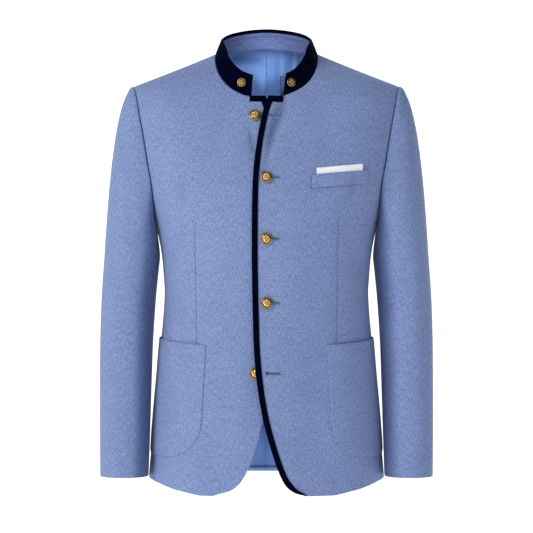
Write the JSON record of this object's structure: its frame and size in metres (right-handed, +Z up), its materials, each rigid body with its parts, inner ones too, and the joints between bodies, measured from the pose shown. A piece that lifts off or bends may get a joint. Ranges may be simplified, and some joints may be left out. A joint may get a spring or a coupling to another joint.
{
  "type": "mandarin collar blazer",
  "caption": "Short wool jacket as worn, hollow and unfilled, with a standing band collar, set-in sleeves, patch pockets, a bound front edge, domed metal buttons and a rounded front hem.",
  "frame": {"origin": "in the middle of the neck opening, midway between the points where the two shoulder seams meet the neckline: where the wearer's neck carries the jacket", "axes": "+Z up, the front faces -Y, +X to the wearer's left, which is the right of the picture"},
  "size_m": [0.553, 0.2706, 0.7737],
  "materials": {
    "wool": "milled wool twill with a fine fleck",
    "velvet": "cotton velvet",
    "collar_wool": "milled wool, a little greyer",
    "satin": "satin lining",
    "linen": "plain weave",
    "gold_button": "polished, embossed"
  },
  "bodies": {
    "root": {"front_left": "wool", "side_left": "wool", "back_left": "wool", "top_sleeve_left": "wool", "under_sleeve_left": "wool", "patch_pocket_left": "wool", "binding_left": "velvet", "back_lining_left": "satin", "collar_button_left": "gold_button", "front_right": "wool", "side_right": "wool", "back_right": "wool", "top_sleeve_right": "wool", "under_sleeve_right": "wool", "patch_pocket_right": "wool", "binding_right": "velvet", "back_lining_right": "satin", "collar_button_right": "gold_button", "chest_welt": "wool", "collar_outer": "velvet", "collar_inner": "collar_wool", "pocket_square": "linen", "front_button_1": "gold_button", "front_button_2": "gold_button", "front_button_3": "gold_button", "front_button_4": "gold_button", "front_button_5": "gold_button"}
  },
  "joints": []
}
